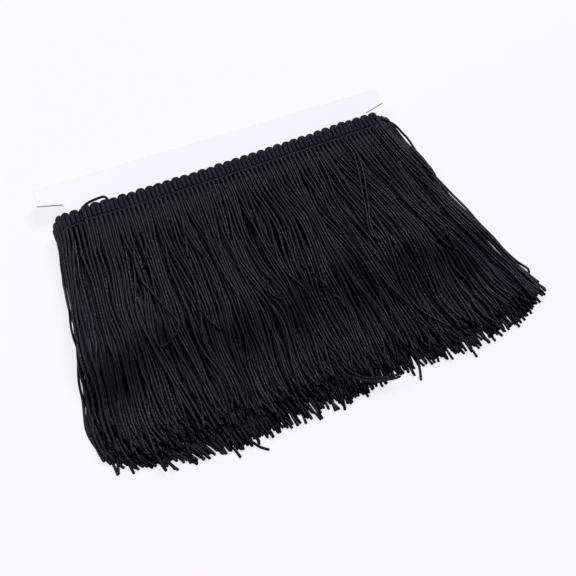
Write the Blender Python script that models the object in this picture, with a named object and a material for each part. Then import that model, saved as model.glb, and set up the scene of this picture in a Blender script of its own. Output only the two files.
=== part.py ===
"""Tassel fringe trim wound in flat turns on a card, lying on a table top.

The card lies level inside the winding.  Its two ears and the strip between them
stand out behind the heading (+Y), and the fringe runs forward (-Y), steps down
over the card's hidden front edge and spreads on the table.
Metres, +Z up; the table top is z = 0 and the origin ends up under the middle
of the whole thing.
"""

import math

import bmesh
import bpy
import numpy as np
from mathutils import Vector

MM = 0.001
GAP = 0.3 * MM  # air left between neighbouring pieces

# --- driving sizes -----------------------------------------------------------
# While the pieces are made, x = 0 is the card's middle and y = 0 its back edge.
CARD_LENGTH = 211 * MM  # over the two ears
CARD_DEPTH = 108 * MM  # back edge to the hidden front edge
CARD_THICKNESS = 1.0 * MM
CARD_HEIGHT = 10.0 * MM  # middle of the board above the table
EAR_TIP = 12 * MM  # depth of an ear at its free end
EAR_ROOT = 16 * MM  # and where it meets the body
EAR_REACH = 14 * MM  # how far an ear stands out past the body

WINDING_HEIGHT = 20 * MM  # over all the turns, table to top
TURNS_LEFT = 8.0 * MM  # thickness of the turns past the body's left edge
TURNS_RIGHT = 12.5 * MM  # the same on the slacker right side
HEADING_DEPTH = 10 * MM  # scalloped edge to the row of stitches
HEADING_BACK = 27.2 * MM  # scalloped edge from the card's back edge
HEADING_SKEW = 4.5 / 190  # the winding lies a little askew: rise per run
HEADING_BOW = 0.9 * MM  # and its ends lie this far behind the middle
SCALLOP_PITCH = 5 * MM
SCALLOP_RISE = 1.3 * MM
STEPS_PER_SCALLOP = 4

FRINGE_REACH = 140 * MM  # heading to tips along the middle
LEFT_SHORTFALL = 17 * MM  # how much less the outermost strands reach
RIGHT_SHORTFALL = 20 * MM
TEETH = 24  # bundles of strands that part from each other
TIP_RAGGEDNESS = 1.6 * MM
PARTING = 0.7 * MM  # slot between two bundles at its root
PARTING_AT_TIPS = 2.6 * MM
SHOULDER = 13 * MM  # width over which the sides round off
SIDE_HEIGHT = 3.0 * MM
CARD_CLEARANCE = 2 * MM  # the fringe clears the card's hidden edges by this

# Fringe sections from the heading to the tips.
# share of the reach, upper surface, left side, right side (mm)
FRINGE_SECTIONS = (
    # along  top  left   right
    (0.00, 19.7, -99.8, 104.0),
    (0.06, 19.6, -100.2, 104.3),
    (0.13, 19.4, -101.5, 106.0),
    (0.22, 18.6, -103.0, 109.5),
    (0.33, 17.8, -104.0, 112.0),
    (0.43, 16.8, -105.5, 114.5),
    (0.51, 15.6, -107.5, 117.0),
    (0.56, 13.0, -109.0, 119.0),
    (0.62, 10.2, -109.5, 121.0),
    (0.70, 9.0, -110.5, 123.5),
    (0.78, 8.4, -110.0, 126.0),
    (0.86, 8.0, -108.0, 128.5),
    (0.895, 7.0, -106.5, 129.5),
    (0.915, 4.6, -106.0, 130.0),
    (0.96, 4.0, -104.0, 130.5),
    (1.00, 2.4, -101.0, 130.5),
)
FIRST_SLOT_ROW = 8  # the bundles start to part here, just past the card

CORD_BLACK = (0.022, 0.021, 0.026, 1.0)
BOARD_WHITE = (0.83, 0.83, 0.86, 1.0)


# --- helpers -----------------------------------------------------------------
def clear_scene():
    for ob in list(bpy.data.objects):
        bpy.data.objects.remove(ob)


def plain_material(name, colour, roughness):
    material = bpy.data.materials.new(name)
    material.use_nodes = True
    shader = material.node_tree.nodes["Principled BSDF"]
    shader.inputs["Base Color"].default_value = colour
    shader.inputs["Roughness"].default_value = roughness
    shader.inputs["Metallic"].default_value = 0.0
    return material


def add_object(name, bm, material):
    """Turns a bmesh into a scene object with its faces pointing out."""
    bmesh.ops.recalc_face_normals(bm, faces=bm.faces)
    mesh = bpy.data.meshes.new(name)
    bm.to_mesh(mesh)
    bm.free()
    mesh.materials.append(material)
    ob = bpy.data.objects.new(name, mesh)
    bpy.context.collection.objects.link(ob)
    return ob


def ease(t):
    """0 below 0, 1 above 1, smooth between."""
    t = min(max(t, 0.0), 1.0)
    return t * t * (3 - 2 * t)


def heading_edge(x):
    """y of the heading's scalloped edge: slightly askew and slightly bowed."""
    bow = HEADING_BOW * (2 * x / CARD_LENGTH) ** 2
    return -HEADING_BACK + HEADING_SKEW * x + bow


# --- card --------------------------------------------------------------------
def rounded_outline(corners, steps=5):
    """Points along a closed outline whose corners are (x, y, radius), as arcs."""
    points = []
    for i, (x, y, radius) in enumerate(corners):
        here = Vector((x, y))
        to_last = (Vector(corners[i - 1][:2]) - here).normalized()
        to_next = (Vector(corners[(i + 1) % len(corners)][:2]) - here).normalized()
        half = to_last.angle(to_next) / 2
        centre = here + (to_last + to_next).normalized() * radius / math.sin(half)
        start = (here + to_last * radius / math.tan(half) - centre).normalized()
        end = (here + to_next * radius / math.tan(half) - centre).normalized()
        for k in range(steps + 1):
            points.append(centre + start.slerp(end, k / steps) * radius)
    return points


def make_card(material):
    """A flat board: a plain body whose back corners reach out as tapered ears."""
    half = CARD_LENGTH / 2
    body = half - EAR_REACH
    right = (
        (half, 0.0, 2.5 * MM),
        (half, -EAR_TIP, 2.0 * MM),
        (body, -EAR_ROOT, 1.0 * MM),
        (body, -CARD_DEPTH, 3.0 * MM),
    )
    left = [(-x, y, radius) for x, y, radius in reversed(right)]
    bm = bmesh.new()
    low = CARD_HEIGHT - CARD_THICKNESS / 2
    outline = rounded_outline([*right, *left])
    face = bm.faces.new([bm.verts.new((p.x, p.y, low)) for p in outline])
    raised = bmesh.ops.extrude_face_region(bm, geom=[face])["geom"]
    lifted = [v for v in raised if isinstance(v, bmesh.types.BMVert)]
    bmesh.ops.translate(bm, verts=lifted, vec=(0, 0, CARD_THICKNESS))
    return add_object("card", bm, material)


# --- heading -----------------------------------------------------------------
def winding_loop(share, left, right, low, high):
    """(x, z) at a share of the way round a flat turn of cord about the card's body.

    left and right are how far the turn stands out past the body's edges, low and
    high its undersurface and upper surface.  Shares follow the outermost turn, so
    that points of inner and outer turns with the same share face each other.
    """
    body = CARD_LENGTH / 2 - EAR_REACH
    middle, rise = (low + high) / 2, (high - low) / 2
    bend_right = math.pi / 2 * (TURNS_RIGHT + WINDING_HEIGHT / 2)
    bend_left = math.pi / 2 * (TURNS_LEFT + WINDING_HEIGHT / 2)
    at = share * (4 * body + bend_right + bend_left)
    if at < 2 * body:
        return at - body, high
    at -= 2 * body
    if at < bend_right:
        turn = math.pi * at / bend_right
        return body + right * math.sin(turn), middle + rise * math.cos(turn)
    at -= bend_right
    if at < 2 * body:
        return body - at, low
    turn = math.pi * (at - 2 * body) / bend_left
    return -body - left * math.sin(turn), middle - rise * math.cos(turn)


def scallop(share, count):
    """Height of the scalloped edge at a share of the way round."""
    return SCALLOP_RISE * abs(math.sin(math.pi * share * count))


def make_heading(material):
    """All the turns of the looped heading as one closed band round the card's body."""
    slit = CARD_THICKNESS / 2 + GAP
    inner = (2 * GAP, 2 * GAP, CARD_HEIGHT - slit, CARD_HEIGHT + slit)
    outer = (TURNS_LEFT, TURNS_RIGHT, 0.0, WINDING_HEIGHT)
    rim = tuple((a + 2 * b) / 3 for a, b in zip(inner, outer))
    round_off = 1.5 * MM
    # turn followed, distance in front of the scalloped edge, share of the scallop
    profile = (
        (inner, HEADING_DEPTH, 0.0),
        (inner, round_off, 0.0),
        (rim, 0.0, 1.0),
        (outer, round_off, 1.0),
        (outer, HEADING_DEPTH, 0.0),
    )
    body = CARD_LENGTH / 2 - EAR_REACH
    girth = 4 * body + math.pi / 2 * (TURNS_LEFT + TURNS_RIGHT + WINDING_HEIGHT)
    scallops = round(girth / SCALLOP_PITCH)
    steps = scallops * STEPS_PER_SCALLOP
    bm = bmesh.new()
    rings = []
    for turn, forward, scalloped in profile:
        ring = []
        for k in range(steps):
            x, z = winding_loop(k / steps, *turn)
            y = heading_edge(x) - forward + scalloped * scallop(k / steps, scallops)
            ring.append(bm.verts.new((x, y, z)))
        rings.append(ring)
    for i, ring in enumerate(rings):
        other = rings[(i + 1) % len(rings)]
        for k in range(steps):
            n = (k + 1) % steps
            bm.faces.new((ring[k], ring[n], other[n], other[k]))
    return add_object("heading", bm, material)


# --- fringe ------------------------------------------------------------------
def reach(across):
    """How far the strands reach at a share of the way across, left to right."""
    left = LEFT_SHORTFALL * max(0.0, 1 - across / 0.13) ** 2
    right = RIGHT_SHORTFALL * max(0.0, (across - 0.75) / 0.25) ** 3
    return FRINGE_REACH - left - right


def fringe_point(across, section, raggedness):
    """Upper surface of the fringe at a share across and in one of its sections."""
    along, top, left, right = section
    x_start = MM * np.interp(across, (0, 1), FRINGE_SECTIONS[0][2:])
    x = MM * (left + (right - left) * across)
    y = heading_edge(x_start) - HEADING_DEPTH - GAP - along * reach(across)
    y -= raggedness * along**6
    to_side = min(across, 1 - across) * (right - left) * MM
    rounding = math.sqrt(1 - (1 - min(to_side / SHOULDER, 1.0)) ** 2)
    low = min(SIDE_HEIGHT, top * MM)
    return x, y, low + (top * MM - low) * rounding


def make_fringe(material):
    """The fringe as one comb: a solid skirt whose front end parts into bundles."""
    bm = bmesh.new()
    rng = np.random.default_rng(5)
    ragged = TIP_RAGGEDNESS * rng.uniform(-1, 1, TEETH)
    slot_rows = FIRST_SLOT_ROW + rng.integers(0, 3, TEETH - 1)
    last = len(FRINGE_SECTIONS) - 1
    upper, lower = [], []
    for row, section in enumerate(FRINGE_SECTIONS):
        width = MM * (section[3] - section[2])
        parting = PARTING + (PARTING_AT_TIPS - PARTING) * ease(section[0]) ** 2
        blunt = 0.22 / TEETH if row == last else 0.0
        line = []
        for tooth in range(TEETH):
            inset = parting / 2 / width
            start = tooth / TEETH + (inset if tooth else 0.0) + blunt
            end = (tooth + 1) / TEETH - (inset if tooth < TEETH - 1 else 0.0) - blunt
            for across in (start, (start + end) / 2, end):
                line.append(fringe_point(across, section, ragged[tooth]))
        upper.append([bm.verts.new(p) for p in line])
        lower.append([bm.verts.new((x, y, 0.0)) for x, y, _ in line])
    columns = len(upper[0])
    for row in range(last):
        for column in range(columns - 1):
            tooth, place = divmod(column, 3)
            if place == 2 and row >= slot_rows[tooth]:
                continue  # a slot between two bundles
            for sheet in (upper, lower):
                corners = (
                    sheet[row][column],
                    sheet[row][column + 1],
                    sheet[row + 1][column + 1],
                    sheet[row + 1][column],
                )
                bm.faces.new(corners if sheet is upper else corners[::-1])
    close_rims(bm, upper, lower)
    return add_object("fringe", bm, material)


def close_rims(bm, upper, lower):
    """Joins the open edges of the upper sheet to the lower sheet with walls."""
    below = {}
    for top_line, low_line in zip(upper, lower):
        below.update(zip(top_line, low_line))
    rims = [e for e in bm.edges if len(e.link_faces) == 1 and e.verts[0] in below]
    for edge in rims:
        a, b = edge.verts
        bm.faces.new((a, b, below[b], below[a]))


def cut_card_pocket(fringe):
    """Opens the fringe from behind so that the card's body lies inside it."""
    half = CARD_LENGTH / 2 - EAR_REACH + CARD_CLEARANCE
    front = -CARD_DEPTH - CARD_CLEARANCE
    back = -EAR_ROOT
    rise = CARD_THICKNESS / 2 + GAP
    bm = bmesh.new()
    bmesh.ops.create_cube(bm, size=1.0)
    bmesh.ops.scale(bm, verts=bm.verts, vec=(2 * half, back - front, 2 * rise))
    bmesh.ops.translate(bm, verts=bm.verts, vec=(0, (back + front) / 2, CARD_HEIGHT))
    cutter = add_object("card_pocket", bm, fringe.data.materials[0])
    cutter.hide_render = True
    cutter.display_type = "WIRE"
    cut = fringe.modifiers.new("card pocket", "BOOLEAN")
    cut.operation = "DIFFERENCE"
    cut.solver = "EXACT"
    cut.object = cutter
    return cutter


def centre_on_origin(pieces, followers):
    """Puts the middle of the whole outline over the origin, on an empty's location."""
    points = [v.co for ob in pieces for v in ob.data.vertices]
    middle_x = (min(p.x for p in points) + max(p.x for p in points)) / 2
    middle_y = (min(p.y for p in points) + max(p.y for p in points)) / 2
    base = bpy.data.objects.new("table_point", None)
    bpy.context.collection.objects.link(base)
    base.location = (-middle_x, -middle_y, 0.0)
    for ob in (*pieces, *followers):
        ob.parent = base


def main():
    clear_scene()
    cord = plain_material("black cord", CORD_BLACK, 0.62)
    board = plain_material("white board", BOARD_WHITE, 0.55)
    card = make_card(board)
    heading = make_heading(cord)
    fringe = make_fringe(cord)
    cutter = cut_card_pocket(fringe)
    centre_on_origin((card, heading, fringe), (cutter,))


main()
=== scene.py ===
# %% [markdown]
# # A black tassel fringe, wound on its card
# The object is about two metres of trimming: a looped heading from which hundreds of knitted
# cords hang. It is wound in flat turns on a white card with two ears and lies on a table. The
# card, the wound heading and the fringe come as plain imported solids. This lesson loads them as
# a fixed frame and models every loop, stitch and strand inside the space that they hold.

# %% Load the frame
import math

import bpy
import numpy as np
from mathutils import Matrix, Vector


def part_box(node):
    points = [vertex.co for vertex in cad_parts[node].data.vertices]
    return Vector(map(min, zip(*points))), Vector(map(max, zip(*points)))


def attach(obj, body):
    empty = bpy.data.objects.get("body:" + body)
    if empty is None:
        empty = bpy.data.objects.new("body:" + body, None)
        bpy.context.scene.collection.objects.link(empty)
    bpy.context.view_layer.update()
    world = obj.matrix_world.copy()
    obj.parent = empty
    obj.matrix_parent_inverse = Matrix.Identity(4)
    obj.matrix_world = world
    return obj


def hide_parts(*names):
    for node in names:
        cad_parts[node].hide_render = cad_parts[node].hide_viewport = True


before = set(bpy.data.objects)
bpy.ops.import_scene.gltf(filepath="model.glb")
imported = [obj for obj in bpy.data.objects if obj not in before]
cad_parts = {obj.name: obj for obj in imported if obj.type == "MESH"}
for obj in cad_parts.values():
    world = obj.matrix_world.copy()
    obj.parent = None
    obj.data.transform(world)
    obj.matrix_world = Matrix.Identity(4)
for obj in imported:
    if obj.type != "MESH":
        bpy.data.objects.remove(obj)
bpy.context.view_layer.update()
print("frame nodes:", sorted(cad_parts))

# %% [markdown]
# Small textile parts are easier to think about in millimetres, measured from a corner that one
# can point at. Here x = 0 is the middle of the card, y = 0 its back edge, z = 0 the table. One
# helper turns such points into the frame's metres. All sizes that the frame holds are read from
# it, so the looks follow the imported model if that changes.

# %% Working units and sizes from the frame
MM = 0.001
card_low, card_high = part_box("card")
heading_low, heading_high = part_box("heading")
fringe_low, fringe_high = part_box("fringe")
CORNER = np.array(((card_low.x + card_high.x) / 2, card_high.y, 0.0))


def to_metres(points):
    """Working millimetres to the frame's metres."""
    return np.asarray(points, float) * MM + CORNER


EAR_REACH = 14.0  # how far each ear stands out beyond the card's body
CARD_HALF = (card_high.x - card_low.x) / 2 / MM
BODY_HALF = CARD_HALF - EAR_REACH
CARD_FRONT = (card_low.y - card_high.y) / MM
BOARD_MIDDLE = (card_low.z + card_high.z) / 2 / MM
BOARD_HALF = (card_high.z - card_low.z) / 2 / MM
TURNS_LEFT = (CORNER[0] - heading_low.x) / MM - BODY_HALF
TURNS_RIGHT = (heading_high.x - CORNER[0]) / MM - BODY_HALF
WINDING_HEIGHT = (heading_high.z - heading_low.z) / MM
print("card half length %.1f mm, body half %.1f mm" % (CARD_HALF, BODY_HALF))
print("bends stand out %.1f and %.1f mm" % (TURNS_LEFT, TURNS_RIGHT))
print("winding %.1f mm high" % WINDING_HEIGHT)
fringe_size = (fringe_high - fringe_low) / MM
print("fringe solid %.0f mm wide and %.0f mm from back to front" % (fringe_size.x, fringe_size.y))

# %% [markdown]
# The camera looks down steeply from the front left, as one looks at a small thing on a table.
# Placing it on a sphere about a point on the table keeps three plain numbers to adjust: azimuth,
# elevation and distance. The lamps are placed in the same way, so they share the helper.

# %% Camera
AIM = (6.0, -105.1, 0.0)
AZIMUTH, ELEVATION, DISTANCE = -21.7, 61.0, 343.6
aim = Vector(to_metres(AIM))


def direction(azimuth, elevation):
    """From the aim outwards, in degrees; azimuth 0 is in front of the card, 90 its right."""
    turn, rise = math.radians(azimuth), math.radians(elevation)
    level = math.cos(rise)
    return Vector((math.sin(turn) * level, -math.cos(turn) * level, math.sin(rise)))


def new_object(name, data, location=(0.0, 0.0, 0.0), back=None):
    """An object in the scene; a camera or lamp there looks away from its back."""
    ob = bpy.data.objects.new(name, data)
    ob.location = location
    if back is not None:
        ob.rotation_euler = back.to_track_quat("Z", "Y").to_euler()
    bpy.context.scene.collection.objects.link(ob)
    return ob


lens = bpy.data.cameras.new("camera")
lens.lens = 40.6
lens.sensor_width = 36.0
lens.clip_start = 0.01
back = direction(AZIMUTH, ELEVATION)
camera = new_object("camera", lens, aim + back * DISTANCE * MM, back)
bpy.context.scene.camera = camera
print("camera at", [round(c, 3) for c in camera.location])

# %% [markdown]
# Small goods are shown on a white sweep with broad, soft light. A dim, even world fills the
# shadows. A large window behind and to the right does most of the work, and a weaker one behind
# and to the left lights the other flank of every cord. The standard view keeps the whites clean.

# %% Light
WORLD_COLOUR, WORLD_STRENGTH = (0.985, 0.982, 1.0, 1.0), 0.23
WINDOW_COLOUR = (1.0, 0.972, 1.05)
bpy.context.scene.view_settings.view_transform = "Standard"
world = bpy.data.worlds.new("studio")
bpy.context.scene.world = world
world.use_nodes = True
sky = world.node_tree.nodes["Background"]
sky.inputs["Color"].default_value = WORLD_COLOUR
sky.inputs["Strength"].default_value = WORLD_STRENGTH


def window_light(name, azimuth, elevation, width, strength):
    """A far, broad lamp, width degrees across."""
    lamp = bpy.data.lights.new(name, "SUN")
    lamp.angle = math.radians(width)
    lamp.energy = strength
    lamp.color = WINDOW_COLOUR
    back = direction(azimuth, elevation)
    return new_object(name, lamp, aim + back, back)


key = window_light("right_window", 122.0, 52.0, 24.0, 2.9)
fill = window_light("left_window", -130.0, 46.0, 26.0, 1.3)
print("key light %.1f, fill light %.1f" % (key.data.energy, fill.data.energy))

# %% [markdown]
# ## Shading helpers
# Every finish here is built from nodes. A few short helpers keep those graphs readable: one
# makes a node and fills its sockets, one makes a reusable group with named sockets, and the
# rest stand for the steps that come again and again.

# %% Nodes and groups
FLOAT, COLOUR, VECTOR = "NodeSocketFloat", "NodeSocketColor", "NodeSocketVector"


def add_node(tree, kind, settings=None, **inputs):
    """A node with plain settings and socket values; a value may be another node's socket."""
    node = tree.nodes.new(kind)
    for name, value in (settings or {}).items():
        setattr(node, name, value)
    for name, value in inputs.items():
        socket = node.inputs[int(name[1:]) if name[1:].isdigit() else name.replace("_", " ")]
        if isinstance(value, bpy.types.NodeSocket):
            tree.links.new(value, socket)
        else:
            socket.default_value = value
    return node


def new_group(name, inputs, outputs):
    """An empty shader group with named sockets, and its two end nodes."""
    group = bpy.data.node_groups.new(name, "ShaderNodeTree")
    for label, kind, value in inputs:
        socket = group.interface.new_socket(label, in_out="INPUT", socket_type=kind)
        socket.default_value = value
    for label, kind in outputs:
        group.interface.new_socket(label, in_out="OUTPUT", socket_type=kind)
    return group, group.nodes.new("NodeGroupInput"), group.nodes.new("NodeGroupOutput")


def new_material(name, colour, roughness, specular):
    """A material, its node tree and its shader."""
    material = bpy.data.materials.new(name)
    material.use_nodes = True
    shader = material.node_tree.nodes["Principled BSDF"]
    shader.inputs["Base Color"].default_value = (*colour, 1.0)
    shader.inputs["Roughness"].default_value = roughness
    shader.inputs["Specular IOR Level"].default_value = specular
    return material, material.node_tree, shader


print("socket kinds:", FLOAT, COLOUR, VECTOR)

# %% Common steps of a finish
def calc(tree, operation, a, b=0.0):
    """One arithmetic step between sockets or numbers."""
    return add_node(tree, "ShaderNodeMath", {"operation": operation}, s0=a, s1=b).outputs[0]


def weighted_sum(tree, *parts):
    """The sum of sockets or numbers, each times its share."""
    result = None
    for value, share in parts:
        part = value if share == 1 else calc(tree, "MULTIPLY", value, share)
        result = part if result is None else calc(tree, "ADD", result, part)
    return result


def remap(tree, value, low, high, to_low=0.0, to_high=1.0):
    """The value carried from the range low..high to the range to_low..to_high."""
    ends = {"From_Min": low, "From_Max": high, "To_Min": to_low, "To_Max": to_high}
    return add_node(tree, "ShaderNodeMapRange", None, Value=value, **ends).outputs[0]


def mix_colours(tree, factor, first, second):
    """The first colour where the factor is 0, the second where it is 1."""
    settings = {"data_type": "RGBA"}
    return add_node(tree, "ShaderNodeMix", settings, Factor=factor, s6=first, s7=second).outputs[2]


def noise(tree, where, scale, detail, dimensions="2D"):
    """A soft random value over a plane or a space."""
    settings = {"noise_dimensions": dimensions}
    inputs = {"Vector": where, "Scale": scale, "Detail": detail}
    return add_node(tree, "ShaderNodeTexNoise", settings, **inputs).outputs[0]


def split(tree, vector):
    """The x, y and z of a vector socket."""
    return add_node(tree, "ShaderNodeSeparateXYZ", None, Vector=vector).outputs


def relief(tree, shader, height, depth, strength):
    """Gives a shader fine bumps from a height; depth in metres."""
    settings = {"Height": height, "Distance": depth, "Strength": strength}
    bump = add_node(tree, "ShaderNodeBump", None, **settings)
    tree.links.new(bump.outputs[0], shader.inputs["Normal"])


print("helpers ready")

# %% [markdown]
# The table glows a little, so that it stays white under the soft light and still takes the
# faint shadows. Its far left is a touch brighter and more neutral than its near right.

# %% Table
TABLE_REACH = 3.0  # metres to each side
TABLE_COLOUR = (0.13, 0.129, 0.132)
GLOW_NEAR, GLOW_FAR = (0.985, 0.975, 1.02, 1.0), (1.008, 1.008, 1.022, 1.0)
NEAR_AT, FAR_AT = -0.06, 0.05  # metres to the back left
LEFT_SHARE = 0.35  # how much a metre to the left counts in that
GLOW_STRENGTH = 0.786
sweep, tree, shader = new_material("white table", TABLE_COLOUR, 0.8, 0.1)
x, y, _ = split(tree, add_node(tree, "ShaderNodeTexCoord").outputs["Object"])
back_left = calc(tree, "SUBTRACT", y, calc(tree, "MULTIPLY", x, LEFT_SHARE))
tone = mix_colours(tree, remap(tree, back_left, NEAR_AT, FAR_AT), GLOW_NEAR, GLOW_FAR)
tree.links.new(tone, shader.inputs["Emission Color"])
shader.inputs["Emission Strength"].default_value = GLOW_STRENGTH
signs = ((-1, -1), (1, -1), (1, 1), (-1, 1))
corners = [(right * TABLE_REACH, far * TABLE_REACH, 0.0) for right, far in signs]
table_mesh = bpy.data.meshes.new("table")
table_mesh.from_pydata(corners, [], [(0, 1, 2, 3)])
table_mesh.materials.append(sweep)
table = new_object("table", table_mesh)
print("table %.0f m across" % (2 * TABLE_REACH))

# %% [markdown]
# ## Cord finish
# The strands are a fine knitted tube of rayon: rows of slanting stitches that throw tiny
# glints. The group takes the cord's own coordinates (once round, and along in metres) and puts
# out a colour that varies from strand to strand, a height for the stitches and a roughness.
# The stitch height also goes into the colour, as a painted highlight on each stitch and painted
# shade between them. Heading, strands and sewing thread share it with different stitch sizes.
# Two more inputs place the cord in the whole and paint light into its colour: its level above
# the table gives painted shade at the bottom of the pile, and its reach to the front right
# gives a little painted light on the cords there.

# %% Knitted cord group
knit, knit_in, knit_out = new_group(
    "knitted_cord",
    (
        ("Around", FLOAT, 0.0),
        ("Along", FLOAT, 0.0),
        ("Stitch Length", FLOAT, 0.0011),
        ("Wales", FLOAT, 4.0),
        ("Level", FLOAT, 0.0),
        ("Reach", FLOAT, 0.0),
        ("Deep", COLOUR, (0.004, 0.004, 0.005, 1.0)),
        ("Bright", COLOUR, (0.02, 0.02, 0.024, 1.0)),
    ),
    (("Colour", COLOUR), ("Height", FLOAT), ("Roughness", FLOAT)),
)
SLANTED, UNEVEN = 1.1, 2.2  # stitches that a row leans within its wale, and drifts
# scales of the noise: over some stitches, inside a stitch, along a cord, and from cord to cord
DRIFT_SCALE, FIBRE_SCALE, SHADE_SCALE, CORD_SCALE = 0.45, 1.7, 22.0, 1.3
# how much fibres, shade along a cord and the cord itself add to a spot's tone
FIBRE_TONE, SHADE_TONE, CORD_TONE = 0.3, 0.4, 0.3
DARKEST_TONE, BRIGHTEST_TONE = 0.75, 1.45
STITCH_HEIGHT, FIBRE_HEIGHT = 0.4, 0.5  # shares of the relief
NOISE_LOW, NOISE_HIGH = 0.25, 0.75  # most of a noise lies between these
# painted light: reach (m) to the front right where the tone is lifted, and by how much
RIGHT_LIGHT_FROM, RIGHT_LIGHT_TO, RIGHT_LIGHT = 0.08, 0.12, 0.4  # reach (m) to the front right, and the lift there
# painted shade: levels (m) low in the pile where the colour darkens, and how dark it gets
PILE_SHADE_FROM, PILE_SHADE_TO, PILE_SHADE = 0.0005, 0.004, 0.35  # levels (m) where the pile darkens, and how far
SMOOTHEST, FIBRE_ROUGHNESS, CORD_ROUGHNESS = 0.12, 0.22, 0.2


def build_knit(tree, given, out):
    """Slanted stitches in wales round the cord, with tone changes along it; painted shade low in the
    pile, painted light to the front right.
    """
    around, along, stitch_length, wales, level, reach, deep, bright = given.outputs[:8]
    in_wale = calc(tree, "FRACT", calc(tree, "MULTIPLY", around, wales))
    slant = calc(tree, "ABSOLUTE", calc(tree, "SUBTRACT", in_wale, 0.5))
    row = calc(tree, "DIVIDE", along, stitch_length)
    on_knit = add_node(tree, "ShaderNodeCombineXYZ", None, X=around, Y=row).outputs[0]
    on_run = add_node(tree, "ShaderNodeCombineXYZ", None, Y=along).outputs[0]
    uneven = noise(tree, on_knit, DRIFT_SCALE, 1.0)
    fibres = noise(tree, on_knit, FIBRE_SCALE, 3.0)
    shade = noise(tree, on_run, SHADE_SCALE, 1.0)
    cord = remap(tree, noise(tree, on_run, CORD_SCALE, 0.0), NOISE_LOW, NOISE_HIGH)

    phase = weighted_sum(tree, (row, 1), (slant, SLANTED), (uneven, UNEVEN))
    wave = calc(tree, "SINE", calc(tree, "MULTIPLY", phase, 2 * math.pi))
    across = calc(tree, "SINE", calc(tree, "MULTIPLY", in_wale, math.pi))
    loops = calc(tree, "MULTIPLY", calc(tree, "ADD", wave, 1.0), 0.5)
    stitches = calc(tree, "ADD", loops, across)
    height = weighted_sum(tree, (stitches, STITCH_HEIGHT), (fibres, FIBRE_HEIGHT))

    # painted highlight and painted shade: the stitch height lightens the colour on each stitch and
    # darkens it between them; fibres, shade and cord add random tone
    parts = (fibres, FIBRE_TONE), (height, 1), (shade, SHADE_TONE), (cord, CORD_TONE)
    tone = weighted_sum(tree, *parts)
    tone = remap(tree, tone, DARKEST_TONE, BRIGHTEST_TONE)
    # painted light: the tone is lifted on the cords to the front right
    tone = weighted_sum(tree, (tone, 1), (remap(tree, reach, RIGHT_LIGHT_FROM, RIGHT_LIGHT_TO), RIGHT_LIGHT))
    # painted shade: cords low in the pile, or facing the back, are darkened
    pile_shade = remap(tree, level, PILE_SHADE_FROM, PILE_SHADE_TO, PILE_SHADE, 1.0)
    colour = mix_colours(tree, calc(tree, "MULTIPLY", tone, pile_shade), deep, bright)
    roughness = weighted_sum(tree, (fibres, FIBRE_ROUGHNESS), (cord, CORD_ROUGHNESS), (SMOOTHEST, 1))
    for label, socket in (("Colour", colour), ("Height", height), ("Roughness", roughness)):
        tree.links.new(socket, out.inputs[label])


build_knit(knit, knit_in, knit_out)
print("knit group:", len(knit.nodes), "nodes")

# %% [markdown]
# The far side of a cord gets little light from its neighbours, so a face that turns to the back
# counts as if it lay low in the pile. That darkens the far rim of each loop of the heading.

# %% Cord materials
TURNED_FROM, TURNED_TO = 0.1, 0.5  # how far a face turns to the back before it counts as low
FRONT_SHARE = -0.6  # how much a metre to the front counts in the reach to the front right
KNIT_STRENGTH = 0.8


def cord_material(name, stitch_length, wales, bump, gloss, deep, bright):
    """A black cord: the knit group drives colour, roughness and a fine bump (sizes in metres)."""
    material, tree, shader = new_material(name, bright, 0.5, gloss)
    group = add_node(tree, "ShaderNodeGroup", {"node_tree": knit})
    around, along, _ = split(tree, add_node(tree, "ShaderNodeUVMap", {"uv_map": "cord"}).outputs[0])
    place = add_node(tree, "ShaderNodeTexCoord")
    x, y, z = split(tree, place.outputs["Object"])
    turned = split(tree, place.outputs["Normal"])[1]
    away = remap(tree, turned, TURNED_FROM, TURNED_TO, PILE_SHADE_TO, 0.0)
    linked = {
        "Around": around,
        "Along": along,
        "Level": calc(tree, "MINIMUM", z, away),
        "Reach": weighted_sum(tree, (x, 1), (y, FRONT_SHARE)),
    }
    for label, socket in linked.items():
        tree.links.new(socket, group.inputs[label])
    group.inputs["Stitch Length"].default_value = stitch_length
    group.inputs["Wales"].default_value = wales
    group.inputs["Deep"].default_value = (*deep, 1.0)
    group.inputs["Bright"].default_value = (*bright, 1.0)
    tree.links.new(group.outputs["Colour"], shader.inputs["Base Color"])
    tree.links.new(group.outputs["Roughness"], shader.inputs["Roughness"])
    relief(tree, shader, group.outputs["Height"], bump, KNIT_STRENGTH)
    return material


# name, stitch length, wales, bump, gloss, and below them the darkest and the brightest colour
CORDS = (
    ("black strand cord", 0.0012, 3.0, 0.00013, 0.11,
     (0.0006, 0.0006, 0.0011), (0.0092, 0.0089, 0.0143)),
    # the inner strand cord is a darker copy of the strand cord for the hidden inner turns: painted
    # shade
    ("black shaded inner strand cord", 0.0012, 3.0, 0.00018, 0.07,
     (0.0006, 0.0006, 0.001), (0.0062, 0.006, 0.0095)),
    ("black heading cord", 0.0007, 6.0, 0.00012, 0.07,
     (0.0036, 0.0036, 0.0064), (0.0118, 0.0114, 0.0194)),
    ("black sewing thread", 0.0005, 3.0, 0.00003, 0.4,
     (0.007, 0.007, 0.01), (0.04, 0.039, 0.052)),
)
strand_finish, shaded_inner_finish, heading_finish, stitch_finish = (cord_material(*cord) for cord in CORDS)
print("cord finishes:", ", ".join(cord[0] for cord in CORDS))

# %% [markdown]
# ## Tubes from arrays
# There are hundreds of cords with tens of rings each. Blender's curve bevels would do it, but
# numpy arrays write the same tubes in a blink and let each cord carry two UV maps: "cord" for
# the knit (once round, metres along) and "OFBake", where each cord has its own strip.

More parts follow.
